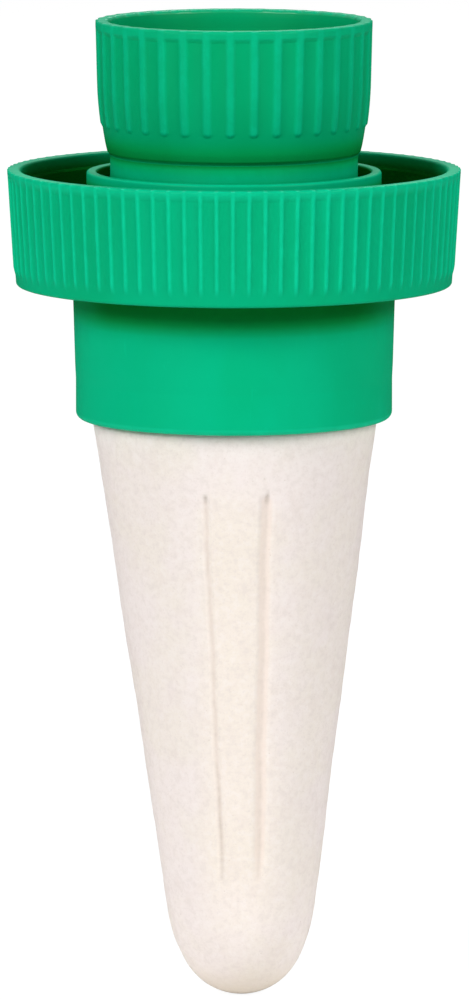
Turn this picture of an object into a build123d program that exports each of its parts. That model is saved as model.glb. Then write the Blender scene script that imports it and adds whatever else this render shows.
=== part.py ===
from build123d import *
import os
from math import cos, degrees, radians, sin, sqrt, tan

# Self watering spike: a porous clay cone that stands in the soil, a green head bonded to
# it with a wide bottle socket, and a screwed-in adapter with a cup for small bottles.
# Lengths are in millimetres and angles in degrees. The origin is the centre of the
# collar's lower rim, which is the soil line. +Z points up out of the soil and the
# spike's front faces -Y.

# Clay cone
clay_mouth_radius = 16.27  # outside, at the soil line
clay_half_angle = 7.83
clay_length = 66.8  # from the soil line to the tip
clay_wall = 3.2
nose_pinch = 0.72  # how much tighter the nose is than a ball that touches the flank
flank_blend_radius = 17.7  # of the arc between the straight flank and the nose
spigot_step = 0.27  # from the cone's mouth in to the straight spigot inside the collar
spigot_wall = 3.1
clay_lean = 0.7  # the fired cone is bonded in slightly out of true
clay_lean_height = 9.2  # the cone leans about this point of its axis
groove_half_spread = 13.3  # of each pair of grooves from its middle
groove_top_depth = 7.0  # upper end of a groove below the soil line
groove_tip_gap = 15.0  # from a groove's lower end to the tip
groove_cutter_radius = 0.9
groove_depth = 0.6

# Adhesive and gasket that hold the clay in the collar
bond_gap = 0.4
bond_recess = 0.5  # of the adhesive inside the collar's lower rim
bond_top_gap = 0.6  # from the adhesive to the clay's rim
gasket_thickness = 1.0
gasket_edge_gap = 0.2  # from the gasket's edges to those of the clay's rim

# Collar
collar_wall = 1.66  # at the lower rim
collar_step_height = 5.4  # of a faint moulding step round the collar
collar_step = 0.08
collar_flare = 0.34  # from the lower rim out to the top
collar_edge_round = 1.0
collar_ceiling_wall = 1.1  # from the collar's ceiling up to the wide socket's underside
passage_radius = 5.0  # of the water passage through the floor

# Wide bottle socket
socket_foot_height = 15.3  # of its underside above the soil line
socket_channel = 7.146  # between the inner ring and the threaded bore
socket_rim_wall = 1.63
socket_depth = 11.2  # inside, from the rim to the floor
socket_floor = 2.0
socket_draft = 3.5
socket_band = 0.7  # plain band under the rim
socket_rib_height = 0.2
socket_rib_width = 0.42
socket_rib_count = 88
socket_rib_phase = -0.28  # of one rib from the front, to the right
socket_rib_foot = 1.6  # of the ribs' lower ends above the underside
socket_foot_round = 0.6
socket_rim_round = 0.35
socket_mouth_depth = 1.5  # of the plain lead-in above the thread
socket_mouth_step = 0.3  # from the lead-in to the threaded bore
socket_pitch = 4.0
socket_ridge_height = 1.1
socket_ridge_gap = 0.65  # from the ridge's ends to the washer and to the lead-in

# Adapter's cup
cup_mouth_radius = 14.25  # inside, of the plain lead-in above the thread
cup_mouth_depth = 2.5
cup_mouth_step = 0.25  # from the lead-in to the threaded bore
cup_depth = 13.6  # inside, from the rim to the floor
cup_wall = 1.52  # at the rim
cup_draft = 1.4
cup_bow_rise = 8.0  # below this height over its underside the wall bows inwards
cup_bow_radius = 43.0
cup_band = 1.05  # plain band under the rim
cup_rib_height = 0.2
cup_rib_width = 0.7
cup_rib_count = 36
cup_rib_phase = -1.5
cup_rib_foot = 3.1  # of the ribs' lower ends above the underside
cup_foot_round = 0.3
cup_rim_round = 0.4
cup_pocket_step = 0.4  # from the threaded bore in to the washer's pocket
cup_pocket_depth = 2.2
cup_floor = 1.9
cup_floor_drop = 0.5  # from the cup's underside down to the floor's
cup_passage_radius = 4.0
cup_pitch = 3.18
cup_ridge_height = 1.15
cup_ridge_gap = 1.3  # from the ridge's ends to the washer and to the lead-in

# Adapter's neck and the inner ring that holds it
cup_ledge = 0.34  # from the neck out to the cup's underside
neck_show = 2.2  # of the neck between the cup and the inner ring
neck_wall = 1.8
neck_gap = 1.5  # between the neck and the inner ring's bore
neck_end_gap = 0.1  # from the neck's lower end to the floor
inner_ring_wall = 1.2
inner_ring_drop = 0.2  # from the wide socket's rim down to its own
inner_ring_round = 0.3
screw_pitch = 3.0
screw_tip_gap = 0.3  # from each ridge's crest to the wall that it faces
screw_foot_gap = 0.2  # from the neck's lower end to its ridge
screw_seal_gap = 0.45  # from the ridges up to the rubber ring's groove

# Rubber ring on the adapter's neck
seal_drop = 2.2  # of the ring's middle below the inner ring's rim
seal_section_radius = 0.95
seal_bore_gap = 0.1
seal_groove_gap = 0.05

# Washers
bottle_washer_thickness = 1.5
bottle_washer_width = 2.95
wide_washer_thickness = 1.6
washer_edge_gap = 0.15

# Shared values of the making
ridge_root_share = 0.6  # width of a thread ridge at the wall, as a share of its pitch
ridge_crest_share = 0.3
ridge_embed = 0.15  # how far ridges and ribs reach into the wall that carries them
overrun = 1.0  # how far cutting solids stand past what they cut
front = -90
back = 90

# Radii and heights that follow for the clay and the collar
clay_slope = radians(clay_half_angle)
spigot_radius = clay_mouth_radius - spigot_step
spigot_bore_radius = spigot_radius - spigot_wall
collar_bore_radius = spigot_radius + bond_gap
collar_foot_radius = collar_bore_radius + collar_wall
collar_ceiling_height = socket_foot_height - collar_ceiling_wall
clay_rim_height = collar_ceiling_height - gasket_thickness

# Heights that follow for the wide socket
socket_floor_height = socket_foot_height + socket_floor
socket_rim_height = socket_floor_height + socket_depth
inner_ring_rim_height = socket_rim_height - inner_ring_drop

# Radii and heights that follow for the adapter
cup_slope = radians(cup_draft)
cup_foot_height = inner_ring_rim_height + neck_show
cup_floor_underside = cup_foot_height - cup_floor_drop
cup_floor_height = cup_floor_underside + cup_floor
cup_rim_height = cup_floor_height + cup_depth
cup_bow_height = cup_foot_height + cup_bow_rise
cup_rim_radius = cup_mouth_radius + cup_wall
cup_thread_radius = cup_mouth_radius - cup_mouth_step
cup_pocket_radius = cup_thread_radius - cup_pocket_step
cup_bow_start_radius = cup_rim_radius - (cup_rim_height - cup_bow_height) * tan(cup_slope)
cup_bow_centre_radius = cup_bow_start_radius - cup_bow_radius * cos(cup_slope)
cup_bow_centre_height = cup_bow_height + cup_bow_radius * sin(cup_slope)


def cup_wall_point(height, sunk):
    """The point of the cup's outside at this height, sunk below the ribs' faces."""
    if height >= cup_bow_height:
        return cup_rim_radius - (cup_rim_height - height) * tan(cup_slope) - sunk, height
    reach = cup_bow_radius - sunk
    return cup_bow_centre_radius + sqrt(reach**2 - (height - cup_bow_centre_height) ** 2), height


cup_foot = cup_wall_point(cup_foot_height, cup_rib_height)
neck_radius = cup_foot[0] - cup_ledge
neck_bore_radius = neck_radius - neck_wall
neck_end_height = socket_floor_height + neck_end_gap
inner_ring_bore_radius = neck_radius + neck_gap
inner_ring_radius = inner_ring_bore_radius + inner_ring_wall
socket_thread_radius = inner_ring_radius + socket_channel
socket_mouth_radius = socket_thread_radius + socket_mouth_step
socket_rim_radius = socket_mouth_radius + socket_rim_wall

# The rubber ring and the screw below it
seal_height = inner_ring_rim_height - seal_drop
seal_ring_radius = inner_ring_bore_radius - seal_bore_gap - seal_section_radius
seal_groove_foot = seal_height - seal_section_radius - seal_groove_gap
screw_ridge_height = neck_gap - screw_tip_gap
neck_ridge_start = neck_end_height + screw_foot_gap + screw_pitch * ridge_root_share / 2
screw_ridge_end = seal_groove_foot - screw_seal_gap - screw_pitch * ridge_root_share / 2


def section(*edges):
    """A half section as a face, from edges drawn round it in (radius, height)."""
    return make_face(Curve() + list(edges))


def cornered(points):
    """A half section as a face, from its corners as (radius, height)."""
    return make_face(Polyline(*points, close=True))


def rounded(face, rounds):
    """The half section with some corners rounded: rounds holds a radius for each such point."""
    for point, radius in rounds.items():
        corner = face.vertices().sort_by_distance((*point, 0))[0]
        face = fillet(corner, radius)
    return face


def turned(face, angle=360):
    """The half section turned about Z, starting at +X."""
    return revolve(Plane.XZ * face, Axis.Z, angle)


def tube(outer_radius, inner_radius, low, high):
    """A round tube about Z between two heights."""
    corners = [(inner_radius, low), (outer_radius, low), (outer_radius, high), (inner_radius, high)]
    return turned(cornered(corners))


def ridge(wall_radius, height, pitch, start, end):
    """A helical thread ridge on a round wall, of trapezoid section and right-handed.

    A positive height stands outwards from the wall, a negative one inwards. The ridge's
    middle runs from the start height to the end height.
    """
    root = pitch * ridge_root_share
    crest = pitch * ridge_crest_share
    embed = -ridge_embed if height > 0 else ridge_embed
    base = root + (root - crest) * ridge_embed / abs(height)
    corners = [
        (wall_radius + embed, -base / 2),
        (wall_radius + height, -crest / 2),
        (wall_radius + height, crest / 2),
        (wall_radius + embed, base / 2),
    ]
    profile = Plane.XZ * cornered(corners)
    helix = Helix(pitch=pitch, height=end - start, radius=wall_radius)
    return Pos(0, 0, start) * sweep(profile, path=helix, is_frenet=True)


def ribs(face, width, radius, count, phase):
    """Ribs round a wall: sectors of the turned section, phase degrees to the right of the front."""
    angle = degrees(width / radius)
    rib = Rot(0, 0, front + phase - angle / 2) * turned(face, angle)
    return [Rot(0, 0, 360 / count * number) * rib for number in range(count)]


def clay_outline(inset):
    """Corner points of the flank, the blend and the nose, moved inwards by inset.

    The blend arc touches the straight flank and the ball of the nose. The two arcs keep
    their centres at any inset, so the cavity's outline runs parallel to the outside.
    """
    slope = clay_slope
    touching_ball = (clay_mouth_radius * cos(slope) - clay_length * sin(slope)) / (1 - sin(slope))
    nose_radius = touching_ball - nose_pinch
    ball_height = nose_radius - clay_length
    reach = flank_blend_radius - nose_radius
    across = clay_mouth_radius * cos(slope) + ball_height * sin(slope) - flank_blend_radius
    along = sqrt(reach**2 - across**2)
    centre_radius = across * cos(slope) + along * sin(slope)
    centre_height = ball_height - across * sin(slope) + along * cos(slope)
    blend = flank_blend_radius - inset
    ball = nose_radius - inset
    mouth = (clay_mouth_radius - inset / cos(slope), 0)
    flank_end = (centre_radius + blend * cos(slope), centre_height - blend * sin(slope))
    nose_start = (
        -ball * centre_radius / reach,
        ball_height + ball * (ball_height - centre_height) / reach,
    )
    return mouth, flank_end, nose_start, (0, ball_height - ball), blend, ball


def clay_solid(inset, top_radius, top_height):
    """The turned body inside the outline at this inset, with a straight part on top of it."""
    mouth, flank_end, nose_start, tip, blend, ball = clay_outline(inset)
    straight = Polyline(tip, (0, top_height), (top_radius, top_height), (top_radius, 0), mouth, flank_end)
    return turned(
        section(straight, RadiusArc(flank_end, nose_start, blend), RadiusArc(nose_start, tip, ball))
    )


def leaned(solid):
    """The solid as bonded in: leaned towards +X going down, about a point of its axis."""
    return Pos(0, 0, clay_lean_height) * Rot(0, -clay_lean, 0) * Pos(0, 0, -clay_lean_height) * solid


def make_clay_cone():
    """The hollow cone, with two pairs of moulded grooves on its front and back."""
    cone = clay_solid(0, spigot_radius, clay_rim_height)
    cone -= clay_solid(clay_wall, spigot_bore_radius, clay_rim_height + overrun)
    top = groove_top_depth + groove_cutter_radius
    length = (clay_length - groove_tip_gap - groove_cutter_radius - top) / cos(clay_slope)
    standoff = groove_cutter_radius - groove_depth
    start_radius = clay_mouth_radius - top * tan(clay_slope) + standoff / cos(clay_slope)
    start = Pos(start_radius, 0, -top) * Rot(0, 180 + clay_half_angle, 0)
    cutter = start * (
        Pos(0, 0, length / 2) * Cylinder(groove_cutter_radius, length)
        + Sphere(groove_cutter_radius)
        + Pos(0, 0, length) * Sphere(groove_cutter_radius)
    )
    for side in (front, back):
        for spread in (-groove_half_spread, groove_half_spread):
            cone -= Rot(0, 0, side + spread) * cutter
    return leaned(cone)


def make_socket_body():
    """The green head: collar, wide socket and inner ring in one moulding."""

    def wall(height):
        """The outside radius of the ribs' faces at this height."""
        return socket_rim_radius - (socket_rim_height - height) * tan(radians(socket_draft))

    band_height = socket_rim_height - socket_band
    rib_foot_height = socket_foot_height + socket_rib_foot
    mouth_height = socket_rim_height - socket_mouth_depth
    step_top_height = collar_step_height + collar_step
    outline = [
        (collar_bore_radius, 0),
        (collar_foot_radius, 0),
        (collar_foot_radius, collar_step_height),
        (collar_foot_radius + collar_step, step_top_height),
        (collar_foot_radius + collar_flare, socket_foot_height),
        (wall(socket_foot_height) - socket_rib_height, socket_foot_height),
        (wall(band_height) - socket_rib_height, band_height),
        (wall(band_height), band_height),
        (socket_rim_radius, socket_rim_height),
        (socket_mouth_radius, socket_rim_height),
        (socket_mouth_radius, mouth_height),
        (socket_thread_radius, mouth_height),
        (socket_thread_radius, socket_floor_height),
        (inner_ring_radius, socket_floor_height),
        (inner_ring_radius, inner_ring_rim_height),
        (inner_ring_bore_radius, inner_ring_rim_height),
        (inner_ring_bore_radius, socket_floor_height),
        (passage_radius, socket_floor_height),
        (passage_radius, collar_ceiling_height),
        (collar_bore_radius, collar_ceiling_height),
    ]
    rounds = {
        (collar_foot_radius, 0): collar_edge_round,
        (wall(socket_foot_height) - socket_rib_height, socket_foot_height): socket_foot_round,
        (socket_rim_radius, socket_rim_height): socket_rim_round,
        (socket_mouth_radius, socket_rim_height): socket_rim_round,
        (inner_ring_radius, inner_ring_rim_height): inner_ring_round,
        (inner_ring_bore_radius, inner_ring_rim_height): inner_ring_round,
    }
    body = turned(rounded(cornered(outline), rounds))
    rib = cornered(
        [
            (wall(rib_foot_height) - socket_rib_height - ridge_embed, rib_foot_height),
            (wall(rib_foot_height), rib_foot_height),
            (wall(band_height), band_height),
            (wall(band_height) - socket_rib_height - ridge_embed, band_height),
        ]
    )
    body += ribs(rib, socket_rib_width, socket_rim_radius, socket_rib_count, socket_rib_phase)
    ridge_inset = socket_ridge_gap + socket_pitch * ridge_root_share / 2
    body += ridge(
        socket_thread_radius,
        -socket_ridge_height,
        socket_pitch,
        socket_floor_height + wide_washer_thickness + ridge_inset,
        mouth_height - ridge_inset,
    )
    body += ridge(
        inner_ring_bore_radius,
        -screw_ridge_height,
        screw_pitch,
        neck_ridge_start + screw_pitch / 2,
        screw_ridge_end,
    )
    return body


def make_bottle_adapter():
    """The green adapter: cup for small bottles on a hollow screwed neck."""

    def bow(low, sunk):
        """The bowed part of the outside, from this height up to the straight part."""
        heights = (low, (low + cup_bow_height) / 2, cup_bow_height)
        return ThreePointArc(*[cup_wall_point(height, sunk) for height in heights])

    band_height = cup_rim_height - cup_band
    mouth_height = cup_rim_height - cup_mouth_depth
    pocket_height = cup_floor_height + cup_pocket_depth
    upper = Polyline(
        cup_wall_point(cup_bow_height, cup_rib_height),
        cup_wall_point(band_height, cup_rib_height),
        cup_wall_point(band_height, 0),
        (cup_rim_radius, cup_rim_height),
        (cup_mouth_radius, cup_rim_height),
        (cup_mouth_radius, mouth_height),
        (cup_thread_radius, mouth_height),
        (cup_thread_radius, pocket_height),
        (cup_pocket_radius, pocket_height),
        (cup_pocket_radius, cup_floor_height),
        (cup_passage_radius, cup_floor_height),
        (cup_passage_radius, cup_floor_underside),
        (neck_bore_radius, cup_floor_underside),
        (neck_bore_radius, neck_end_height),
        (neck_radius, neck_end_height),
        (neck_radius, cup_foot_height),
        cup_foot,
    )
    rounds = {
        cup_foot: cup_foot_round,
        (cup_rim_radius, cup_rim_height): cup_rim_round,
        (cup_mouth_radius, cup_rim_height): cup_rim_round,
    }
    adapter = turned(rounded(section(bow(cup_foot_height, cup_rib_height), upper), rounds))
    rib_foot_height = cup_foot_height + cup_rib_foot
    inside = cup_rib_height + ridge_embed
    rib = section(
        bow(rib_foot_height, 0),
        Polyline(
            cup_wall_point(cup_bow_height, 0),
            cup_wall_point(band_height, 0),
            cup_wall_point(band_height, inside),
            cup_wall_point(cup_bow_height, inside),
        ),
        bow(rib_foot_height, inside),
        Line(cup_wall_point(rib_foot_height, inside), cup_wall_point(rib_foot_height, 0)),
    )
    adapter += ribs(rib, cup_rib_width, cup_rim_radius, cup_rib_count, cup_rib_phase)
    groove_half_width = seal_height - seal_groove_foot
    adapter -= tube(
        neck_radius + overrun,
        seal_ring_radius - groove_half_width,
        seal_groove_foot,
        seal_height + groove_half_width,
    )
    ridge_inset = cup_ridge_gap + cup_pitch * ridge_root_share / 2
    adapter += ridge(
        cup_thread_radius,
        -cup_ridge_height,
        cup_pitch,
        cup_floor_height + bottle_washer_thickness + ridge_inset,
        mouth_height - ridge_inset,
    )
    adapter += ridge(neck_radius, screw_ridge_height, screw_pitch, neck_ridge_start, screw_ridge_end)
    return adapter


def make_cone_bond(clay):
    """The adhesive between the clay's spigot and the collar's bore."""
    inside = spigot_radius - bond_gap
    shell = tube(collar_bore_radius, inside, bond_recess, clay_rim_height - bond_top_gap)
    return shell - clay


def make_cone_gasket(clay):
    """The soft ring between the clay's rim and the collar's ceiling."""
    outside = spigot_radius - gasket_edge_gap
    inside = spigot_bore_radius + gasket_edge_gap
    return tube(outside, inside, clay_rim_height - gasket_thickness / 2, collar_ceiling_height) - clay


def make_neck_seal():
    """The rubber ring in the neck's groove."""
    return Pos(0, 0, seal_height) * Torus(seal_ring_radius, seal_section_radius)


def make_bottle_washer():
    """The flat washer in the cup's pocket."""
    top = cup_floor_height + bottle_washer_thickness
    outside = cup_pocket_radius - washer_edge_gap
    return tube(outside, outside - bottle_washer_width, cup_floor_height, top)


def make_wide_washer():
    """The flat washer on the wide socket's floor, round the inner ring."""
    top = socket_floor_height + wide_washer_thickness
    outside = socket_thread_radius - washer_edge_gap
    return tube(outside, inner_ring_radius + washer_edge_gap, socket_floor_height, top)


def main():
    clay = make_clay_cone()
    nodes = {
        "clay_cone": clay,
        "socket_body": make_socket_body(),
        "bottle_adapter": make_bottle_adapter(),
        "cone_bond": make_cone_bond(clay),
        "cone_gasket": make_cone_gasket(clay),
        "neck_seal": make_neck_seal(),
        "bottle_washer": make_bottle_washer(),
        "wide_washer": make_wide_washer(),
    }
    os.makedirs("parts", exist_ok=True)
    for name, solid in nodes.items():
        export_step(solid, f"parts/{name}.step")
        print(name, round(solid.volume, 1), "mm3")


main()
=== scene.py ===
import math
from functools import cached_property

import bpy
import numpy as np
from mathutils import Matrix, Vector


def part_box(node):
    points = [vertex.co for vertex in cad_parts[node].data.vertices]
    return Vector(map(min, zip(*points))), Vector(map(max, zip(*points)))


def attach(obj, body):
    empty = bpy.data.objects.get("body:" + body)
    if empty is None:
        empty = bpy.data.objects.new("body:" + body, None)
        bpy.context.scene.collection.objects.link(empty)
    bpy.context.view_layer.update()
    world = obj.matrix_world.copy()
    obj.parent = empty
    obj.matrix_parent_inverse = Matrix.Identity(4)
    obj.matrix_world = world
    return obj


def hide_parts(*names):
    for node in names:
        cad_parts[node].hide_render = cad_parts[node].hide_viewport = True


# A self watering spike: pale clay cone, green head with a wide ribbed bottle socket, and a
# screwed-in adapter with a ribbed cup. Shapes are worked out in millimetres in the packed
# model's frame (+Z up, the front faces -Y, origin at the soil line) and scaled to metres.

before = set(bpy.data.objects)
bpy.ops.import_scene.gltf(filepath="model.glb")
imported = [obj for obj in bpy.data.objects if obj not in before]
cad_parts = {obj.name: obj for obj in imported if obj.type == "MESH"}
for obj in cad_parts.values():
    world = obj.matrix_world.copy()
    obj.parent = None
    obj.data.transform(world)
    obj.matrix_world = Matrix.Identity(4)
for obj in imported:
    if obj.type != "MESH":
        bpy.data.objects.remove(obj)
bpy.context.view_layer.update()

MM = 0.001
FRONT = -math.pi / 2
TURN = 2 * math.pi

# Clay cone: radii, lengths and heights, here and below
CLAY_MOUTH = 16.27
CLAY_SLOPE = math.radians(7.83)
CLAY_LENGTH = 66.798
CLAY_WALL = 3.2
NOSE_PINCH = 0.72
FLANK_BLEND = 17.7
SPIGOT = 16.0
SPIGOT_BORE = 12.9
CLAY_RIM = 13.2
CLAY_LEAN = math.radians(0.7)
CLAY_LEAN_HEIGHT = 9.2
GROOVE_SPREAD = math.radians(13.3)
GROOVE_TOP = -7.9
GROOVE_FOOT = -52.0
GROOVE_DEPTH = 0.3
CREASE_REACH = 0.38
CLAY_COLUMNS = 384

# For each groove its pair's side, its way from the pair's middle, half its width, its share
# of the depth, how tall the dark oval at its top is, and how much darker the painted shade
# in its crease is low down
GROOVES = (
    (FRONT, -1, 0.62, 0.5, 1.5, 0.58),
    (FRONT, 1, 1.05, 1.0, 3.0, 0.15),
    (-FRONT, -1, 0.95, 0.9, 2.5, 0.25),
    (-FRONT, 1, 0.7, 0.6, 1.8, 0.45),
)

# Head: collar, wide socket and inner ring
COLLAR_BORE = 16.4
COLLAR_FOOT = 18.06
COLLAR_STEP = 0.08
COLLAR_STEP_FOOT = 4.6
COLLAR_STEP_TOP = 6.2
COLLAR_TOP = 18.4
COLLAR_CEILING = 14.2
PASSAGE = 5.0
SOCKET_FOOT = 15.3
SOCKET_FLOOR = 17.3
SOCKET_RIM_HEIGHT = 28.5
SOCKET_RIM = 25.855
SOCKET_MOUTH = 24.25
SOCKET_LIP = 24.6
SOCKET_BORE = 23.95
SOCKET_LEDGE = 27.0
SOCKET_SLOPE = math.tan(math.radians(3.5))
SOCKET_BAND_FOOT = 27.2
SOCKET_BAND = 28.0
SOCKET_RIBS = 88
SOCKET_RIB_PHASE = math.radians(-0.28)
SOCKET_RIB_FOOT = 16.3
SOCKET_RIBS_FULL = 17.6
RIB_HEIGHT = 0.2
RING_OUTSIDE = 16.804
RING_BORE = 15.604
RING_RIM = 28.3

# Adapter: cup and neck
CUP_RIM_HEIGHT = 45.5
CUP_RIM = 15.77
CUP_MOUTH = 14.25
CUP_BORE = 14.0
CUP_LEDGE = 43.0
CUP_FLOOR = 31.9
CUP_FLOOR_UNDERSIDE = 30.0
CUP_FOOT = 30.5
CUP_FOOT_RADIUS = 14.444
CUP_POCKET = 13.6
CUP_POCKET_TOP = 34.1
CUP_PASSAGE = 4.0
CUP_SLOPE = math.radians(1.4)
CUP_BOW_HEIGHT = 38.5
CUP_BOW = 43.0
CUP_BAND_FOOT = 44.1
CUP_BAND = 44.6
CUP_RIBS = 36
CUP_RIB_PHASE = math.radians(-1.5)
CUP_RIB_FOOT = 33.5
NECK = 14.104
NECK_BORE = 12.304
NECK_END = 17.4
SEAL_HEIGHT = 26.1
SEAL_RING = 14.554
SEAL_SECTION = 0.95
SEAL_GROOVE = 13.554
SEAL_GROOVE_FOOT = 25.1
SEAL_GROOVE_TOP = 27.1

# Threads: the pitch, the heights where the ridge's middle starts and ends, and how far the
# ridge stands out
SOCKET_THREAD, SOCKET_RIDGE = (4.0, 20.75, 25.15), 1.1
RING_THREAD, RING_RIDGE = (3.0, 20.0, 23.75), 1.2
CUP_THREAD, CUP_RIDGE = (3.18, 35.654, 40.746), 1.15
NECK_THREAD, NECK_RIDGE = (3.0, 18.5, 23.75), 1.2

# Flat washers: inner and outer radius, underside and top
BOTTLE_WASHER = (10.5, 13.45, 31.9, 33.4)
WIDE_WASHER = (16.954, 23.8, 17.3, 18.9)
WASHER_ROUND = 0.18

# Stage: the floor's half side in metres, and its glow where the camera sees it
FLOOR_REACH = 9.0
FLOOR_GLOW = 1.09

# Camera: how far it looks down, how far off it stands, and the height on the axis that it
# aims at
VIEW_PITCH = math.radians(7.6)
VIEW_DISTANCE = 1143.9
VIEW_AIM = -9.57

# Sky: its grey by the upward part of the direction, from level to straight up
SKY_LOW, SKY_SIDE, SKY_TOP = 0.02, 0.33, 0.06
SKY = ((0.0, SKY_LOW), (0.2, SKY_LOW), (0.4, SKY_SIDE), (0.6, SKY_SIDE), (0.85, SKY_TOP))


# Shapes

def smooth(low, high, value):
    """0 at low, 1 at high, and the cubic 3t^2 - 2t^3 of the way t between them. Where low is
    the greater, it rises downwards."""
    t = np.clip((value - low) / (high - low), 0, 1)
    return t * t * (3 - 2 * t)


def waves(*terms):
    """The sum of sines: each term is (size, phase in radians as an array)."""
    return sum(size * np.sin(phase) for size, phase in terms)


def unit(vector):
    """The vector at length 1."""
    return vector / np.linalg.norm(vector)


def section(corners, hold=0.05):
    """The rows of a section, as radii and heights, from corners (radius, height, rounding, step).

    A rounded corner is an arc that touches both its sides, in steps of 15 degrees. A holding
    row lies just past each end of an arc, and just before and after a sharp corner, so that
    smooth shading turns there and the flats stay flat. Rows between one corner and the next
    are no further apart than the first one's step, where it gives one.
    """
    points = np.array([c[:2] for c in corners], float)
    count = len(points)
    stretches = []
    for i, (radius, height, rounding, step) in enumerate(corners):
        here = points[i]
        back, on = unit(points[i - 1] - here), unit(points[(i + 1) % count] - here)
        if rounding == 0:
            stretches.append((np.array([here]), step))
            continue
        half = math.acos(float(np.clip(back @ on, -1, 1))) / 2
        centre = here + unit(back + on) * rounding / math.sin(half)
        first = here + back * rounding / math.tan(half) - centre
        last = here + on * rounding / math.tan(half) - centre
        turn = math.pi - 2 * half
        t = np.linspace(0, 1, max(3, math.ceil(turn / math.radians(15)) + 1))[:, None]
        arc = centre + (np.sin((1 - t) * turn) * first + np.sin(t * turn) * last) / math.sin(turn)
        stretches.append((arc, step))
    rows = []
    for i, (arc, step) in enumerate(stretches):
        begin, end = arc[-1], stretches[(i + 1) % count][0][0]
        length = np.linalg.norm(end - begin)
        rows.append(arc)
        if length < 3 * hold:
            continue
        inner = [hold / length, 1 - hold / length]
        steps = 1 if step is None else max(1, math.ceil((length - 2 * hold) / step))
        t = np.linspace(*inner, steps + 1)[:, None]
        rows.append(begin + (end - begin) * t)
    return np.concatenate(rows)


def shared(ring, count):
    """The ring's point numbers that each of count faces takes in, from its first to its last."""
    i = np.arange(count)
    if len(ring) == 1:
        return [ring[i * 0]]
    each = len(ring) // count
    return [ring[(i * each + k) % len(ring)] for k in range(each + 1)]


def skin(name, points, every, closed=True):
    """A mesh from rings of points (row, column, xyz) whose last column meets the first.

    A ring uses each column whose number divides by its entry in every, and where two
    neighbouring rings differ, each face takes in the finer ring's whole share of points. An
    entry of 0 makes the ring one point, a pole. Where closed, the last ring meets the first.
    """
    numbers, picked, start = [], [], 0
    for ring, step in zip(points, every):
        chosen = ring[:1] if step == 0 else ring[::step]
        picked.append(chosen)
        numbers.append(np.arange(start, start + len(chosen)))
        start += len(chosen)
    faces = []
    pairs = list(zip(numbers, numbers[1:] + numbers[:1]))
    for low, high in pairs if closed else pairs[:-1]:
        fewer, more = sorted((len(low), len(high)))
        count = fewer if fewer > 1 else more
        faces += np.stack(shared(low, count) + shared(high, count)[::-1], axis=1).tolist()
    mesh = bpy.data.meshes.new(name)
    mesh.from_pydata(np.concatenate(picked) * MM, [], faces)
    mesh.polygons.foreach_set("use_smooth", np.ones(len(faces), bool))
    mesh.update()
    piece = bpy.data.objects.new(name, mesh)
    bpy.context.scene.collection.objects.link(piece)
    return piece


def mark(piece, name, values, every):
    """Stores a share for each point as an attribute, from an array of row by column."""
    chosen = [row[:1] if step == 0 else row[::step] for row, step in zip(values, every)]
    attribute = piece.data.attributes.new(name, "FLOAT", "POINT")
    attribute.data.foreach_set("value", np.concatenate(chosen).astype(np.float32))


def near(radius, wall):
    """Where a section's rows lie on the straight wall of this radius."""
    return np.abs(radius - wall) < 0.1


def rings(radius, height, angles):
    """Points at (radius cos angle, radius sin angle, height) for arrays of row by column."""
    height = height + 0 * radius
    return np.stack([radius * np.cos(angles), radius * np.sin(angles), height], axis=-1)


def rib_columns(radius, count, phase, beside):
    """Angles round a wall: for each rib its middle line, lines at the distances beside it on
    both its sides, and the line half way to the next rib."""
    pitch = TURN * radius / count
    along = [0, *beside, pitch / 2, *(pitch - distance for distance in reversed(beside))]
    share = np.array(along) / pitch
    angles = (np.arange(count)[:, None] + share[None, :]) * TURN / count + FRONT + phase
    return angles.reshape(1, -1)


def rib_share(angles, height, radius, count, phase, half_width, soft, foot):
    """1 on the ribs and 0 between them, by the distance to each rib's middle line, whose
    lower end stands half a width over the foot, so that the rib ends in a half circle."""
    pitch = TURN / count
    number = np.round((angles - FRONT - phase) / pitch)
    aside = (angles - FRONT - phase - number * pitch) * radius
    waver = waves((0.012, 1.7 * height + 2.3 * number), (0.008, 0.61 * height + 5.1 * number))
    below = np.clip(foot + half_width - height, 0, None)
    wide = half_width * (1 + waves((0.07, 12.9898 * number)))
    return 1 - smooth(wide - soft, wide + soft, np.hypot(aside + waver, below))


def thread_share(angles, height, pitch, start, end, fade=0.035):
    """1 on the crest of a helical ridge whose middle rises by the pitch each turn from +X,
    falling to 0 at six tenths of the pitch, and fading out over a short turn at its ends."""
    around = np.mod(angles, TURN) / TURN
    turns = (end - start) / pitch
    share = 0 * (angles + height)
    for passed in range(math.ceil(turns)):
        along = around + passed
        across = np.abs(height - start - pitch * along) / pitch
        body = 1 - smooth(0.15, 0.3, across)
        ends = smooth(0, fade, along) * (1 - smooth(turns - fade, turns, along))
        share = np.maximum(share, body * ends)
    return share


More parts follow.
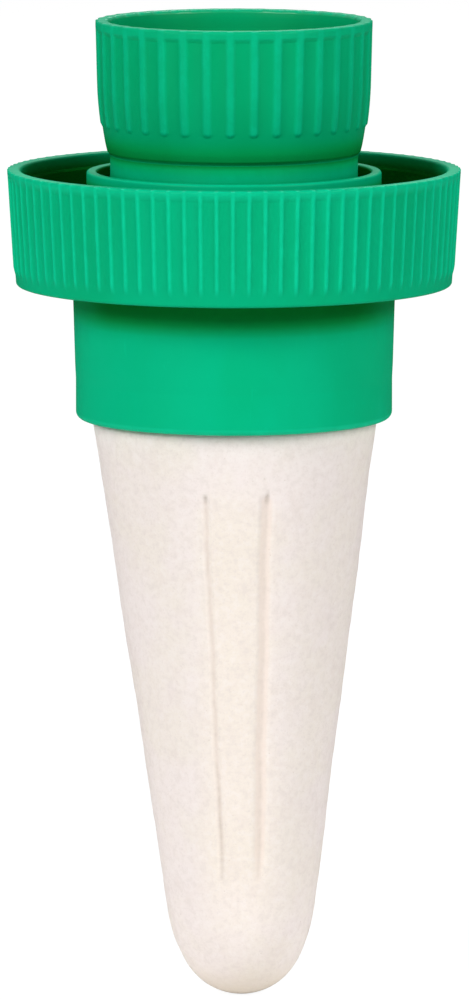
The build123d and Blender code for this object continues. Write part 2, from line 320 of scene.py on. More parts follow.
def clay_rows(inset, count):
    """Half the clay's outline from the tip up to the soil line, moved inwards by inset.

    A ball's arc at the tip, then an arc that touches the ball and the straight flank, then
    the flank. Both arcs keep their centres, so the cavity runs parallel to the outside.
    """
    s, c = math.sin(CLAY_SLOPE), math.cos(CLAY_SLOPE)
    nose = (CLAY_MOUTH * c - CLAY_LENGTH * s) / (1 - s) - NOSE_PINCH
    ball = nose - CLAY_LENGTH
    reach = FLANK_BLEND - nose
    across = CLAY_MOUTH * c + ball * s - FLANK_BLEND
    along = math.sqrt(reach**2 - across**2)
    centre = np.array([across * c + along * s, ball - across * s + along * c])
    turned = math.atan2(centre[1] - ball, centre[0])
    low = np.linspace(-math.pi / 2, turned - math.pi, count // 4)[:, None]
    side = np.linspace(turned - math.pi, -CLAY_SLOPE, count // 4)[1:, None]
    tip = np.array([0, ball]) + (nose - inset) * np.concatenate([np.cos(low), np.sin(low)], axis=1)
    blend = centre + (FLANK_BLEND - inset) * np.concatenate([np.cos(side), np.sin(side)], axis=1)
    mouth = np.array([CLAY_MOUTH - inset / c, 0])
    t = np.linspace(0, 1, count // 2)[1:, None]
    return np.concatenate([tip, blend, blend[-1] + (mouth - blend[-1]) * t])


def leaned(points):
    """Turned about Y by the lean at its height, so that the tip goes towards +X."""
    s, c = math.sin(CLAY_LEAN), math.cos(CLAY_LEAN)
    x, y, z = points[..., 0], points[..., 1], points[..., 2] - CLAY_LEAN_HEIGHT
    return np.stack([c * x - s * z, y, s * x + c * z + CLAY_LEAN_HEIGHT], axis=-1)


def groove_share(angles, radius, height):
    """How deep the four grooves are, 0 to 1, and how dark the painted shade in their creases is.

    By the distance d to a line down the flank, a groove is a rounded trough of depth
    (1 - (d / half)^2)^2 in its half width. Painted shade along its crease darkens evenly from
    its reach in to that line, and more so low down. Both fade towards the foot, and a tall
    dark oval, darkest in its middle, lies at the top.
    """
    depth, crease = 0 * (angles + height), 0 * (angles + height)
    for side, way, half, share, tall, low in GROOVES:
        middle = side + way * GROOVE_SPREAD
        aside = np.mod(angles - middle + math.pi, TURN) - math.pi
        waver = waves((0.05, 0.31 * height), (0.03, 0.83 * height + 1.0))
        above = np.clip(height - GROOVE_TOP, 0, None)
        below = np.clip(GROOVE_FOOT - height, 0, None)
        across = aside * radius + waver
        trough = np.clip(1 - (np.hypot(across, above + below) / half) ** 2, 0, 1) ** 2
        fade = smooth(GROOVE_FOOT, GROOVE_FOOT + 4, height)
        depth = np.maximum(depth, share * trough * (0.5 + 0.5 * fade))
        # Painted shade along the crease, darker low down
        line = np.clip(1 - np.hypot(across, above) / CREASE_REACH, 0, 1)
        line = line * (0.3 + 0.35 * fade + low * smooth(-35, -43, height))
        # A dark oval at the groove's top
        oval = np.hypot(across - 0.06 * share, (height - GROOVE_TOP - 0.4) / tall)
        groove_darkening = 0.85 * np.clip(1 - oval / CREASE_REACH, 0, 1)
        crease = np.maximum(crease, np.maximum(line * smooth(-0.2, 0.4, -below), groove_darkening))
    return depth, crease


def make_clay():
    """The turned outline with its spigot and cavity, its grooves pressed in and a slight
    unevenness, a sum of sines over height and angle, all leaned as it is bonded in. Columns
    stand up to ten times closer near the grooves."""
    middles = np.array([FRONT - GROOVE_SPREAD, FRONT + GROOVE_SPREAD]) % TURN
    middles = np.concatenate([middles, (middles + math.pi) % TURN])
    fine = np.linspace(0, TURN, 7201)  # a twentieth of a degree apart
    apart = np.abs(np.mod(fine[:, None] - middles + math.pi, TURN) - math.pi).min(axis=1)
    density = 1 + 9 * np.exp(-((apart / 0.075) ** 4))
    way = np.concatenate([[0], np.cumsum(density[:-1])])
    angles = np.interp(np.linspace(0, way[-1], CLAY_COLUMNS + 1)[:-1], way, fine)[None, :]
    outside = clay_rows(inset=0, count=220)
    inside = clay_rows(inset=CLAY_WALL, count=60)[::-1]
    spigot = [
        (SPIGOT, 0.0),
        (SPIGOT, 0.1),
        (SPIGOT, CLAY_RIM - 0.5),
        (SPIGOT - 0.06, CLAY_RIM - 0.2),
        (SPIGOT - 0.25, CLAY_RIM - 0.03),
        (SPIGOT - 0.5, CLAY_RIM),
        (SPIGOT_BORE + 0.4, CLAY_RIM),
        (SPIGOT_BORE, CLAY_RIM - 0.4),
        (SPIGOT_BORE, 0.0),
    ]
    rows = np.concatenate([outside, spigot, inside])
    radius, height = rows[:, :1], rows[:, 1:]
    outer = np.zeros((len(rows), 1))
    outer[: len(outside)] = 1
    # Both tips are poles, rings near them take fewer columns, and the cavity takes half
    where = [radius < 0.001, radius < 1.5, radius < 4, outer > 0]
    every = np.select(where, [0, 8, 4, 1], 2)[:, 0]
    depth, crease = groove_share(angles, radius, height)
    sunk = outer * depth
    uneven = outer * smooth(0, 6, -height) * smooth(0, 8, radius) * (
        waves(
            (0.035, 0.21 * height + 2 * angles),
            (0.03, 0.37 * height - 3 * angles + 1.1),
            (0.012, 1.3 * height + 5 * angles + 0.4),
            (0.01, 2.1 * height - 9 * angles),
        )
        - 0.05
    )
    out = radius - GROOVE_DEPTH * sunk + uneven
    piece = skin("clay_body", leaned(rings(out, height, angles)), every, closed=False)
    mark(piece, "groove", sunk, every)
    # Painted shade down each groove's crease, and a dark oval at its top
    mark(piece, "crease", outer * crease, every)
    return piece


def make_head():
    """The turned section of the collar, the socket and its inner ring, with ribs raised on
    the socket's wall and thread ridges raised on both bores."""
    angles = rib_columns(SOCKET_RIM, SOCKET_RIBS, SOCKET_RIB_PHASE, (0.15, 0.24, 0.33))

    def wall(height):
        return SOCKET_RIM - (SOCKET_RIM_HEIGHT - height) * SOCKET_SLOPE

    outside = [
        (wall(SOCKET_FOOT) - RIB_HEIGHT, SOCKET_FOOT, 0.35, 0.25),
        (wall(SOCKET_RIBS_FULL) - RIB_HEIGHT, SOCKET_RIBS_FULL, 0, 1.5),
        (wall(SOCKET_BAND_FOOT - 0.3) - RIB_HEIGHT, SOCKET_BAND_FOOT - 0.3, 0, 0.15),
        (wall(SOCKET_BAND_FOOT) - RIB_HEIGHT, SOCKET_BAND_FOOT, 0.15, 0.2),
        (wall(SOCKET_BAND), SOCKET_BAND, 0.15, None),
        (SOCKET_RIM, SOCKET_RIM_HEIGHT, 0.35, None),
    ]
    inside = [
        (SOCKET_MOUTH, SOCKET_RIM_HEIGHT, 0.35, 0.2),
        (SOCKET_MOUTH, SOCKET_LEDGE, 0, None),
        (SOCKET_BORE, SOCKET_LEDGE - 0.25, 0.1, 0.18),  # close rows for the thread
        (SOCKET_BORE, SOCKET_FLOOR + 1.6, 0, None),
        (SOCKET_BORE, SOCKET_FLOOR, 0.1, None),
        (RING_OUTSIDE, SOCKET_FLOOR, 0.1, 0.4),
        (RING_OUTSIDE, RING_RIM, 0.3, None),
        (RING_BORE, RING_RIM, 0.3, None),
        (RING_BORE, RING_RIM - 3.3, 0, 0.15),  # close rows for the thread
        (RING_BORE, SOCKET_FLOOR + 1.5, 0, None),
        (RING_BORE, SOCKET_FLOOR, 0.1, None),
        (PASSAGE, SOCKET_FLOOR, 0.25, None),
        (PASSAGE, COLLAR_CEILING, 0.25, None),
        (COLLAR_BORE, COLLAR_CEILING, 0.1, None),
        (COLLAR_BORE, 0, 0.2, None),
        (COLLAR_FOOT, 0, 0.8, 0.2),
        (COLLAR_FOOT, 1.5, 0, 0.7),
        (COLLAR_FOOT, COLLAR_STEP_FOOT, 0, 0.4),
        (COLLAR_FOOT + COLLAR_STEP, COLLAR_STEP_TOP, 0, 0.7),
        (COLLAR_TOP, SOCKET_FOOT, 0, None),
    ]
    rows = section(outside + inside)
    radius, height = rows[:, :1], rows[:, 1:]
    outer = (radius > SOCKET_LIP) & (height > SOCKET_FOOT)
    every = np.where((radius > SOCKET_LIP - 0.2) & (height > SOCKET_FOOT - 0.01), 1, 4)[:, 0]
    placed = (SOCKET_RIM, SOCKET_RIBS, SOCKET_RIB_PHASE)
    ribs = rib_share(angles, height, *placed, half_width=0.24, soft=0.13, foot=SOCKET_RIB_FOOT)
    ribs = ribs * smooth(SOCKET_RIB_FOOT - 0.1, SOCKET_RIBS_FULL, height) * outer
    band = outer * smooth(SOCKET_BAND_FOOT, SOCKET_BAND, height)
    out = radius + ribs * np.clip(wall(height) - radius, 0, RIB_HEIGHT)
    bore = near(radius, SOCKET_BORE) & (height < SOCKET_LEDGE)
    out = out - SOCKET_RIDGE * bore * thread_share(angles, height, *SOCKET_THREAD)
    screw = near(radius, RING_BORE) & (height > SOCKET_FLOOR)
    out = out - RING_RIDGE * screw * thread_share(angles, height, *RING_THREAD)
    piece = skin("head_moulding", rings(out, height, angles), every)

    # Paler: scuffs with painted highlight on the ribs and the band over them, and painted
    # highlight on both rims and along the collar's foot
    socket_rim = smooth(SOCKET_RIM_HEIGHT - 0.2, SOCKET_RIM_HEIGHT - 0.05, height)
    ring_rim = smooth(RING_RIM - 0.2, RING_RIM - 0.05, height) * (radius < RING_OUTSIDE + 0.2)
    # Painted highlight: a pale line along the collar's foot
    foot = (radius > 17.2) * smooth(0.8, 0.5, height)
    crest = np.maximum(ribs, 0.6 * band) + (0.55 * socket_rim + 0.8 * ring_rim) + 0.9 * foot
    mark(piece, "crest", crest, every)

    # Painted shade: down the walls of the well, each from its own height, under the socket on
    # the collar, less at its sides, and a little between the ribs
    well = (radius < SOCKET_LIP) & (radius > RING_BORE - 0.1) & (height > SOCKET_FLOOR - 0.1)
    ring_bore = smooth(RING_RIM, RING_RIM - 0.3, height)
    ring_outside = smooth(RING_RIM - 0.4, RING_RIM - 1.9, height)
    socket_wall = smooth(SOCKET_RIM_HEIGHT - 0.1, SOCKET_RIM_HEIGHT - 1.8, height)
    walls = [radius < RING_BORE + 0.25, near(radius, RING_OUTSIDE)]
    shade = well * np.select(walls, [ring_bore, ring_outside], socket_wall)
    sides = 1 - 0.5 * smooth(0.75, 1.0, np.abs(np.cos(angles)))
    collar = sides * ((radius < 19) & (height < SOCKET_FOOT + 0.01))
    hollow = shade + 0.9 * collar * smooth(SOCKET_FOOT - 4.4, SOCKET_FOOT - 1.7, height)
    hollow = hollow + 0.12 * outer * (1 - ribs - 0.7 * band)
    mark(piece, "hollow", np.clip(hollow, 0, 1), every)

    # Painted bounce light, as if from other green faces: the well and the top of the collar
    under = smooth(SOCKET_FOOT - 4.6, SOCKET_FOOT - 2.7, height)
    mark(piece, "bounced", 0.9 * shade + 0.65 * collar * under, every)
    mark(piece, "gloss", 0 * (radius + angles), every)
    return piece


def cup_face(height):
    """The outside radius of the cup's ribs: a steep cone down to the bow's height, and below
    it an arc that touches the cone and curves inwards."""
    straight = CUP_RIM - (CUP_RIM_HEIGHT - height) * math.tan(CUP_SLOPE)
    start = CUP_RIM - (CUP_RIM_HEIGHT - CUP_BOW_HEIGHT) * math.tan(CUP_SLOPE)
    centre = start - CUP_BOW * math.cos(CUP_SLOPE)
    middle = CUP_BOW_HEIGHT + CUP_BOW * math.sin(CUP_SLOPE)
    bowed = centre + np.sqrt(CUP_BOW**2 - (np.minimum(height, CUP_BOW_HEIGHT) - middle) ** 2)
    return np.where(height >= CUP_BOW_HEIGHT, straight, bowed)


def make_adapter():
    """The turned section of the cup and its neck, with ribs raised on the cup's outside and
    thread ridges on the cup's bore and round the neck. Rows stand closest at the ribs' ends."""
    angles = rib_columns(CUP_RIM, CUP_RIBS, CUP_RIB_PHASE, (0.24, 0.38, 0.52, 0.68))
    rib_ends = np.linspace(33.45, 34.6, 12)
    face = np.concatenate([np.linspace(31.3, 33.3, 6), rib_ends, np.linspace(35, 43.8, 13)])
    profile = [(CUP_FOOT_RADIUS, CUP_FOOT + 0.1, 0.2, 0.2)]
    profile += [(float(cup_face(h)) - RIB_HEIGHT, float(h), 0, None) for h in face]
    profile += [
        (float(cup_face(CUP_BAND_FOOT)) - RIB_HEIGHT, CUP_BAND_FOOT, 0.1, 0.15),
        (float(cup_face(CUP_BAND)), CUP_BAND, 0.1, None),
        (CUP_RIM, CUP_RIM_HEIGHT, 0.4, None),
        (CUP_MOUTH, CUP_RIM_HEIGHT, 0.4, 0.3),
        (CUP_MOUTH, CUP_LEDGE, 0, None),
        (CUP_BORE, CUP_LEDGE, 0.08, 0.16),  # close rows for the thread
        (CUP_BORE, CUP_POCKET_TOP + 0.3, 0, None),
        (CUP_BORE, CUP_POCKET_TOP, 0, None),
        (CUP_POCKET, CUP_POCKET_TOP, 0.1, None),
        (CUP_POCKET, CUP_FLOOR, 0.1, None),
        (CUP_PASSAGE, CUP_FLOOR, 0.25, None),
        (CUP_PASSAGE, CUP_FLOOR_UNDERSIDE, 0.25, None),
        (NECK_BORE, CUP_FLOOR_UNDERSIDE, 0.1, None),
        (NECK_BORE, NECK_END, 0.2, None),
        (NECK, NECK_END, 0.2, 0.15),  # close rows for the thread
        (NECK, SEAL_GROOVE_FOOT - 0.2, 0, None),
        (NECK, SEAL_GROOVE_FOOT, 0, None),
        (SEAL_GROOVE, SEAL_GROOVE_FOOT, 0, None),
        (SEAL_GROOVE, SEAL_GROOVE_TOP, 0, None),
        (NECK, SEAL_GROOVE_TOP, 0, 0.25),
        (NECK, CUP_FOOT - 0.3, 0.2, None),
    ]
    rows = section(profile, hold=0.04)
    radius, height = rows[:, :1], rows[:, 1:]
    outer = (radius > 14.3) & (height > CUP_FOOT)
    placed = (CUP_RIM, CUP_RIBS, CUP_RIB_PHASE)
    ribs = rib_share(angles, height, *placed, half_width=0.46, soft=0.22, foot=CUP_RIB_FOOT)
    ribs = ribs * outer
    out = radius + ribs * np.clip(cup_face(height) - radius, 0, RIB_HEIGHT)
    bore = near(radius, CUP_BORE) & (height > CUP_POCKET_TOP) & (height < CUP_LEDGE)
    out = out - CUP_RIDGE * bore * thread_share(angles, height, *CUP_THREAD)
    neck = near(radius, NECK) & (height < SEAL_GROOVE_FOOT)
    out = out + NECK_RIDGE * neck * thread_share(angles, height, *NECK_THREAD)
    every = np.where(radius > CUP_MOUTH + 0.05, 1, 2)[:, 0]
    piece = skin("adapter_moulding", rings(out, height, angles), every)

    # Paler: scuffs with painted highlight on the ribs and the band over them, and painted
    # highlight on the rim and on the neck under the cup
    over = height - CUP_FOOT
    down = CUP_RIM_HEIGHT - height
    band = outer * smooth(CUP_BAND_FOOT + 0.1, CUP_BAND, height)
    # Painted highlight on the neck just under the cup
    throat = (radius > NECK - 0.05) & (over < -0.2)
    throat = throat * smooth(-0.3, -0.8, over) * smooth(-2.5, -1.9, over)
    crest = np.maximum(ribs, 0.6 * band) + 0.65 * smooth(0.2, 0.05, down) + 0.6 * throat
    mark(piece, "crest", crest, every)

    # Painted shade: inside the cup, its foot, more so at the sides, and the neck under it
    inside = (radius < CUP_MOUTH + 0.1) & (height > CUP_FLOOR_UNDERSIDE + 0.1)
    cup = over > -0.05
    flank = np.cos(angles) ** 2 * smooth(2.2, 0.9, over)
    foot = 0.05 * smooth(2.9, 1.1, over) + 0.45 * smooth(1.5, -0.1, over) + 0.22 * flank
    shade = np.where(cup, foot, 0.75 * smooth(-1.0, -0.2, over)) + 0.3 * smooth(-2.1, -3.0, over)
    shade = np.where(inside, 0.3 * smooth(0.1, 2.0, down), shade)
    mark(piece, "hollow", np.clip(shade, 0, 1), every)

    # Painted bounce light, as if from other green faces: a little inside the cup, more on its
    # foot and the neck
    warm = 0.5 * smooth(2.9, 0.8, over) + 0.15 * flank
    warm = np.where(cup, warm, 0.55 * smooth(-1.8, -0.5, over))
    mark(piece, "bounced", np.where(inside, 0.05, warm), every)

    # Shiny: the lip inside the rim
    lip = (radius < CUP_MOUTH + 0.25) * smooth(0.9, 0.5, down)
    mark(piece, "gloss", lip + 0 * angles, every)
    return piece


def make_washer(name, inner, outer, low, high):
    """A flat ring turned from a rectangle with rounded corners."""
    corners = [(inner, low), (outer, low), (outer, high), (inner, high)]
    rows = section([(r, z, WASHER_ROUND, None) for r, z in corners])
    angles = np.linspace(0, TURN, 144, endpoint=False)[None, :]
    return skin(name, rings(rows[:, :1] + 0 * angles, rows[:, 1:], angles), [1] * len(rows))


def make_seal():
    """The rubber ring: a circle of the section's radius carried round the ring's middle."""
    around = np.linspace(0, TURN, 28, endpoint=False)[:, None]
    angles = np.linspace(0, TURN, 180, endpoint=False)[None, :]
    radius = SEAL_RING + SEAL_SECTION * np.cos(around) + 0 * angles
    height = SEAL_HEIGHT + SEAL_SECTION * np.sin(around)
    return skin("neck_ring_seal", rings(radius, height, angles), [1] * len(around))


# Finishes

class Wire:
    """A node's output, with the operators that the finishes use. Each adds a Math node."""

    def __init__(self, finish, socket):
        self.finish, self.socket = finish, socket

    def __add__(self, other):
        return self.finish.maths("ADD", self, other)

    def __sub__(self, other):
        return self.finish.maths("SUBTRACT", self, other)

    def __rsub__(self, other):
        return self.finish.maths("SUBTRACT", other, self)

    def __mul__(self, other):
        return self.finish.maths("MULTIPLY", self, other)

    __radd__ = __add__
    __rmul__ = __mul__


class Finish:
    """The nodes of a material, or of a world, and what the finishes have in common."""

    def __init__(self, name, library=None):
        self.owner = (bpy.data.materials if library is None else library).new(name)
        self.owner.use_nodes = True
        self.tree = self.owner.node_tree
        self.tree.nodes.clear()

    @cached_property
    def place(self):
        """The point on the piece, in metres."""
        return self.node("ShaderNodeTexCoord", out="Object")

    @cached_property
    def mm(self):
        """The point on the piece, in millimetres."""
        scaled = {0: self.place, "Scale": 1000.0}
        return self.node("ShaderNodeVectorMath", {"operation": "SCALE"}, scaled)

    def node(self, kind, settings=None, values=None, out=0):
        """Adds a node: its settings first, a ramp's stops among them, then its sockets."""
        node = self.tree.nodes.new(kind)
        for key, value in (settings or {}).items():
            if key == "stops":
                ramp = node.color_ramp
                while len(ramp.elements) < len(value):
                    ramp.elements.new(0.5)
                for element, (position, colour) in zip(ramp.elements, value):
                    element.position, element.color = position, colour
            else:
                setattr(node, key, value)
        for key, value in (values or {}).items():
            if isinstance(value, Wire):
                self.tree.links.new(value.socket, node.inputs[key])
            else:
                node.inputs[key].default_value = value
        return Wire(self, node.outputs[out])

    def maths(self, operation, a, b=0.0):
        """One Math node on one or two values."""
        return self.node("ShaderNodeMath", {"operation": operation}, {0: a, 1: b})

    def rise(self, low, high, value):
        """A smooth step of the value between low and high."""
        settings = {"interpolation_type": "SMOOTHSTEP"}
        values = {"Value": value, "From Min": low, "From Max": high}
        return self.node("ShaderNodeMapRange", settings, values)

    def noise(self, scale, detail=2.0, rough=0.5, stretch=(1, 1, 1)):
        """Noise from 0 to 1, at so many waves to the millimetre."""
        stretched = {0: self.mm, 1: stretch}
        where = self.node("ShaderNodeVectorMath", {"operation": "MULTIPLY"}, stretched)
        values = {"Vector": where, "Scale": scale, "Detail": detail, "Roughness": rough}
        return self.node("ShaderNodeTexNoise", None, values)

    def mixed(self, share, a, b, blend="MIX"):
        """Colour a, and so much of colour b over it."""
        settings = {"data_type": "RGBA", "blend_type": blend}
        return self.node("ShaderNodeMix", settings, {"Factor": share, 6: a, 7: b}, out=2)

    def attribute(self, name):
        """A share that mark stored on the piece."""
        return self.node("ShaderNodeAttribute", {"attribute_name": name}, out="Fac")

    def axis(self, name):
        """X, Y or Z in millimetres."""
        return self.node("ShaderNodeSeparateXYZ", None, {0: self.mm}, out=name)

    def bump(self, height, distance, strength=1.0, under=None):
        """A normal bent by a height of so many millimetres, over another bump."""
        values = {"Height": height, "Distance": distance * MM, "Strength": strength}
        if under is not None:
            values["Normal"] = under
        return self.node("ShaderNodeBump", None, values)

    def surface(self, colour, roughness, normal, **constants):
        """Ends the material in one shader. Constants name its other sockets with _ for spaces."""
        values = {"Base Color": colour, "Roughness": roughness, "Normal": normal}
        values.update({key.replace("_", " "): value for key, value in constants.items()})
        return self.shown(self.node("ShaderNodeBsdfPrincipled", None, values))

    def shown(self, shader, kind="ShaderNodeOutputMaterial"):
        """Ends the nodes in their output, and gives the material or the world."""
        output = self.tree.nodes.new(kind)
        self.tree.links.new(shader.socket, output.inputs["Surface"])
        return self.owner


def rgb(red, green, blue):
    """A linear colour from 8-bit display values."""
    share = np.array([red, green, blue]) / 255
    linear = np.where(share <= 0.04045, share / 12.92, ((share + 0.055) / 1.055) ** 2.4)
    return (*linear.tolist(), 1.0)


def green_plastic(name, fresh, deep, scuff_and_highlight_green):
    """Moulded green plastic: clouding from the flow of the melt, a fine grain, pale scuffs and
    painted highlights on the raised ribs and rims, hairline scratches, a deeper green painted
    as shade where a face is short of light, and a yellower green painted as bounce light
    from other green faces."""
    f = Finish(name)
    cloud = f.noise(0.09, 3.0, 0.55, (1, 1, 0.5))
    fleck = f.noise(1.6, 2.0, 0.6)
    crest = f.attribute("crest")
    colour = f.mixed(f.rise(0.35, 0.7, cloud) * 0.6, fresh, deep)
    # Paler on the marked ribs, rims and collar foot: scuffs, with noise, and painted highlight
    rubbed_and_highlit = crest * (0.7 + 0.3 * f.rise(0.4, 0.66, f.noise(0.5, 4.0, 0.65)))
    colour = f.mixed(rubbed_and_highlit, colour, scuff_and_highlight_green)
    # Painted highlight: a whitish green on the rims, where the mark is highest
    colour = f.mixed(f.rise(1.0, 1.8, crest) * 0.28, colour, rgb(96, 220, 182))
    colour = f.mixed(f.rise(0.62, 0.78, fleck) * 0.12, colour, scuff_and_highlight_green)
    scratch = f.noise(3.2, 1.0, 0.4, (1, 1, 0.05))
    hair = f.rise(0.7, 0.76, scratch) * f.rise(0.5, 0.62, f.noise(0.16))
    colour = f.mixed(hair * 0.2, colour, scuff_and_highlight_green)
    # Painted shade: a deeper green with far less blue where the piece is marked short of light
    hollow = f.attribute("hollow")
    colour = f.mixed(hollow, colour, (1, 0.38, 0.14, 1), "MULTIPLY")
    # Painted bounce light: a yellower green where other green faces would light the piece
    colour = f.mixed(f.attribute("bounced"), colour, (1, 0.96, 0.35, 1), "MULTIPLY")
    roughness = 0.3 + 0.16 * cloud + 0.1 * fleck + 0.12 * hair + 0.45 * hollow
    grain = f.noise(7.0, 2.0, 0.55)
    flow = f.bump(cloud, 0.35, 0.5)
    normal = f.bump(grain, 0.012, 0.6, f.bump(hair, -0.01, 0.5, flow))
    coat = {"Coat_Weight": f.attribute("gloss") * 0.65, "Coat_Roughness": 0.32}
    return f.surface(colour, roughness, normal, Specular_IOR_Level=0.05, **coat)


def fired_clay():
    """Unglazed fired clay: warm white with pink and yellow clouding, sandy mottling, dark
    pores and specks, yellower between the grooves, and a tan, soil-rubbed tip."""
    f = Finish("fired_clay")
    height = f.axis("Z")
    side = f.axis("X")
    back_or_front = f.maths("ABSOLUTE", f.axis("Y"))
    cloud = f.noise(0.09, 3.0, 0.6)
    patch = f.noise(0.4, 4.0, 0.6)
    sand = f.noise(3.4, 4.0, 0.7)
    colour = f.mixed(f.rise(0.38, 0.62, cloud), rgb(250, 239, 235), rgb(249, 239, 230))
    between = (1 - f.rise(2.0, 5.6, f.maths("ABSOLUTE", side - 0.3))) * f.rise(4, 7, back_or_front)
    between = between * f.rise(-5, -12, height) * f.rise(-62, -50, height)
    colour = f.mixed(between * (0.5 + 0.4 * patch), colour, rgb(250, 239, 226))
    colour = f.mixed(f.rise(0.48, 0.7, patch) * 0.35, colour, rgb(242, 229, 222))
    mottle = f.noise(1.3, 3.0, 0.6)
    colour = f.mixed(f.rise(0.5, 0.66, mottle) * 0.28, colour, rgb(233, 222, 216))
    colour = f.mixed(f.rise(0.5, 0.34, mottle) * 0.3, colour, rgb(255, 247, 243))
    colour = f.mixed(f.rise(0.5, 0.72, sand) * 0.38, colour, rgb(231, 219, 213))
    tip = f.rise(-60.5, -66, height + 2.0 * patch)
    colour = f.mixed(tip * 0.7, colour, rgb(246, 234, 214))
    spaced = {"Vector": f.mm, "Scale": 1.3, "Randomness": 1.0}
    cells = f.node("ShaderNodeTexVoronoi", None, spaced, out="Distance")
    pore = (1 - f.rise(0.03, 0.11, cells)) * f.rise(0.54, 0.62, f.noise(0.7))
    colour = f.mixed(pore * 0.4, colour, rgb(196, 176, 158))
    groove = f.attribute("groove")
    # Painted shade: darker and pinker down the grooves
    colour = f.mixed(f.rise(0.1, 0.8, groove) * 0.5, colour, rgb(246, 228, 216))
    # Painted shade along the groove creases, and a dark oval at each groove's top, mottled by noise
    groove_darkening = f.attribute("crease") * (0.55 + 0.4 * f.rise(0.4, 0.62, f.noise(0.9, 3.0, 0.6)))
    colour = f.mixed(groove_darkening, colour, rgb(150, 136, 120))
    roughness = 0.86 + 0.1 * sand
    grain = f.bump(sand, 0.06, 0.7, f.bump(patch, 0.12, 0.5))
    normal = f.bump(pore, -0.08, 0.7, grain)
    return f.surface(colour, roughness, normal, Specular_IOR_Level=0.25)


def rubber(name, colour, dust):
    """Moulded rubber: near even, with a bloom of dust and a fine grain."""
    f = Finish(name)
    bloom = f.rise(0.4, 0.75, f.noise(0.4, 4.0, 0.6))
    shade = f.mixed(bloom * 0.5, colour, dust)
    normal = f.bump(f.noise(5.0, 3.0, 0.6), 0.02, 0.5)
    return f.surface(shade, 0.55 + 0.25 * bloom, normal, Specular_IOR_Level=0.4)


def cured_adhesive():
    """Cured silicone, cloudy and slightly uneven where it was wiped."""
    f = Finish("cured_adhesive")
    cloud = f.noise(0.6, 3.0, 0.6)
    colour = f.mixed(cloud, rgb(208, 205, 196), rgb(188, 183, 170))
    return f.surface(colour, 0.35 + 0.2 * cloud, f.bump(f.noise(1.2, 3.0), 0.08, 0.6))


def paint(piece, material):
    """Gives a piece or a CAD node its only finish."""
    piece.data.materials.clear()
    piece.data.materials.append(material)


def dress(piece, material, body, slot, *nodes):
    """Gives a piece its finish and its body, and hides the CAD nodes that it stands for. Its slot
    is not used.
    """
    paint(piece, material)
    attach(piece, body)
    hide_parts(*nodes)


head_green = green_plastic("head_green", rgb(0, 188, 135), rgb(0, 180, 122), rgb(7, 207, 154))
adapter_green = green_plastic("adapter_green", rgb(0, 177, 118), rgb(0, 167, 104), rgb(4, 192, 138))
black_rubber = rubber("black_rubber", rgb(26, 27, 28), rgb(64, 66, 66))
grey_rubber = rubber("grey_rubber", rgb(188, 187, 180), rgb(170, 167, 158))

dress(make_clay(), fired_clay(), "spike", "clay", "clay_cone")
dress(make_head(), head_green, "spike", "head_plastic", "socket_body")
dress(make_adapter(), adapter_green, "adapter", "adapter_plastic", "bottle_adapter")
dress(make_seal(), black_rubber, "seal", "seal_rubber", "neck_seal")
bottle_seal = make_washer("bottle_flat_seal", *BOTTLE_WASHER)
dress(bottle_seal, black_rubber, "adapter", "seal_rubber", "bottle_washer")
wide_seal = make_washer("wide_flat_seal", *WIDE_WASHER)
dress(wide_seal, black_rubber, "spike", "seal_rubber", "wide_washer")
paint(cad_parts["cone_bond"], cured_adhesive())
paint(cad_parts["cone_gasket"], grey_rubber)


# Stage

def make_floor():
    """A wide floor at the tip: plain white to the eye, and darker to what it lights, apart
    from a pale patch round the tip."""
    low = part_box("clay_cone")[0].z
    square = ((-1, -1), (1, -1), (1, 1), (-1, 1))
    corners = [(x * FLOOR_REACH, y * FLOOR_REACH, low) for x, y in square]
    mesh = bpy.data.meshes.new("studio_floor")
    mesh.from_pydata(corners, [], [(0, 1, 2, 3)])
    floor = bpy.data.objects.new("studio_floor", mesh)
    bpy.context.scene.collection.objects.link(floor)
    f = Finish("studio_floor")
    seen = f.node("ShaderNodeLightPath", out="Is Camera Ray")
    glow = f.node("ShaderNodeEmission", None, {"Color": (1, 1, 1, 1), "Strength": FLOOR_GLOW})
    shown = f.node("ShaderNodeBsdfDiffuse", None, {"Color": (0.9, 0.9, 0.9, 1)})
    reach = f.node("ShaderNodeVectorMath", {"operation": "LENGTH"}, {0: f.place}, out="Value")
    glossy = f.node("ShaderNodeLightPath", out="Is Glossy Ray")
    bounce = (f.rise(0.5, 0.05, reach) * 0.6 + 0.35) * (1 - 0.8 * glossy)
    lit = f.node("ShaderNodeBsdfDiffuse", None, {"Color": bounce})
    white = f.node("ShaderNodeMixShader", None, {0: 0.14, 1: glow, 2: shown})
    both = f.node("ShaderNodeMixShader", None, {0: seen, 1: lit, 2: white})
    mesh.materials.append(f.shown(both))


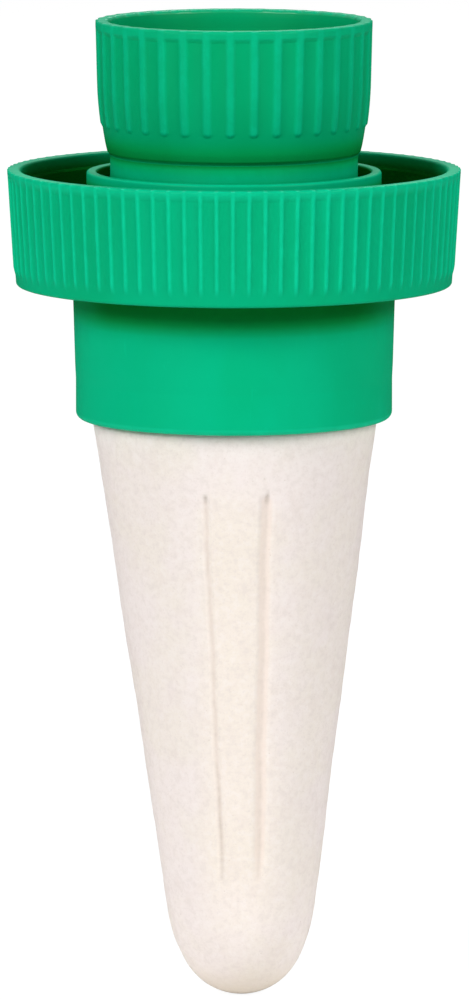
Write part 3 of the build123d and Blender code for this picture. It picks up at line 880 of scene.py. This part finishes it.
def make_world():
    """White to the eye. What it lights gets a soft sky, brightest a little over the horizon
    and dim overhead and below."""
    f = Finish("studio_sky", bpy.data.worlds)
    direction = f.node("ShaderNodeTexCoord", out="Generated")
    upward = f.node("ShaderNodeSeparateXYZ", None, {0: direction}, out="Z")
    stops = [(position, (grey, grey, grey, 1)) for position, grey in SKY]
    light = f.node("ShaderNodeValToRGB", {"stops": stops}, {0: upward})
    sky = f.node("ShaderNodeBackground", None, {"Color": light})
    white = f.node("ShaderNodeBackground", None, {"Color": (1, 1, 1, 1), "Strength": 1.0})
    seen = f.node("ShaderNodeLightPath", out="Is Camera Ray")
    through = f.node("ShaderNodeLightPath", out="Is Transmission Ray")
    either = f.maths("MAXIMUM", seen, through)
    both = f.node("ShaderNodeMixShader", None, {0: either, 1: sky, 2: white})
    bpy.context.scene.world = f.shown(both, "ShaderNodeOutputWorld")


def make_lamp(name, azimuth, elevation, distance, power, side=0.5):
    """A square soft lamp that faces the object from an azimuth (0 in front, 90 to the right)
    and an elevation, both in degrees, with its distance and side in metres."""
    lamp = bpy.data.lights.new(name, "AREA")
    lamp.shape, lamp.size, lamp.energy = "SQUARE", side, power
    piece = bpy.data.objects.new(name, lamp)
    a, e = math.radians(azimuth), math.radians(elevation)
    out = Vector((math.sin(a) * math.cos(e), -math.cos(a) * math.cos(e), math.sin(e)))
    piece.location = out * distance
    piece.rotation_euler = out.to_track_quat("Z", "Y").to_euler()
    bpy.context.scene.collection.objects.link(piece)


def make_camera():
    """The photograph's view: a long lens from a little above, aimed at the axis."""
    lens = bpy.data.cameras.new("camera")
    lens.sensor_width = 36
    lens.lens = 360
    lens.shift_x = 0.0005
    lens.clip_start, lens.clip_end = 0.05, 60
    camera = bpy.data.objects.new("camera", lens)
    out = Vector((0, -math.cos(VIEW_PITCH), math.sin(VIEW_PITCH)))
    camera.location = Vector((0, 0, VIEW_AIM * MM)) + out * VIEW_DISTANCE * MM
    camera.rotation_euler = out.to_track_quat("Z", "Y").to_euler()
    bpy.context.scene.collection.objects.link(camera)
    bpy.context.scene.camera = camera


make_floor()
make_world()
make_lamp("left_lamp", azimuth=-43, elevation=28, distance=1.2, power=8.6)
make_lamp("right_lamp", azimuth=50, elevation=28, distance=1.2, power=6.8)
make_lamp("back_lamp", azimuth=176, elevation=40, distance=1.4, power=6.5)
make_camera()
bpy.context.scene.view_settings.view_transform = "Standard"
